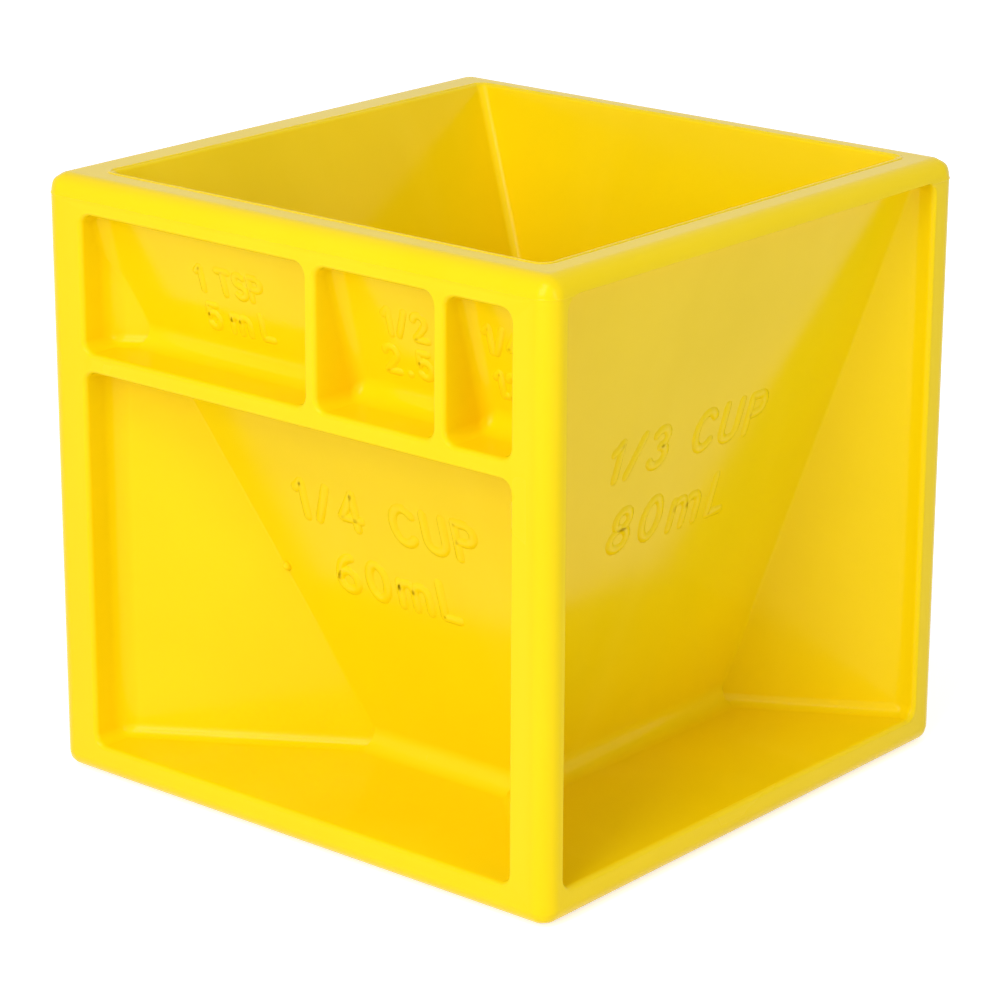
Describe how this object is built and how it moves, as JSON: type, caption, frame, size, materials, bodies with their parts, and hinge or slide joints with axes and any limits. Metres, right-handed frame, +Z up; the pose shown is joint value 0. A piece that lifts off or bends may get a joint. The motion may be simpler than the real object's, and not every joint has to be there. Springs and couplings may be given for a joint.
{
  "type": "measuring cube",
  "caption": "Moulded plastic measuring cube: a tapered cup opening upwards inside, with smaller measures recessed into each side.",
  "frame": {"origin": "middle of the flat underside, on the surface that the cube stands on", "axes": "+Z up through the open mouth of the cup; -Y out of the side with the quarter-cup space and the teaspoon pockets; +X out of the side with the third-cup space"},
  "size_m": [0.0886, 0.0886, 0.0858],
  "materials": {
    "moulded_plastic": "glossy, slightly translucent yellow"
  },
  "bodies": {
    "root": {"base_plate": "moulded_plastic", "cup_bowl": "moulded_plastic", "rim_frame": "moulded_plastic", "shelf_front": "moulded_plastic", "lintel_front": "moulded_plastic", "teaspoon_divider_left": "moulded_plastic", "teaspoon_divider_right": "moulded_plastic", "shelf_rear": "moulded_plastic", "lintel_rear": "moulded_plastic", "small_teaspoon_divider": "moulded_plastic", "shelf_left": "moulded_plastic", "lintel_left": "moulded_plastic", "tablespoon_divider_lower": "moulded_plastic", "tablespoon_divider_upper": "moulded_plastic", "post_front_left": "moulded_plastic", "post_front_right": "moulded_plastic", "post_rear_right": "moulded_plastic", "post_rear_left": "moulded_plastic"}
  },
  "joints": []
}
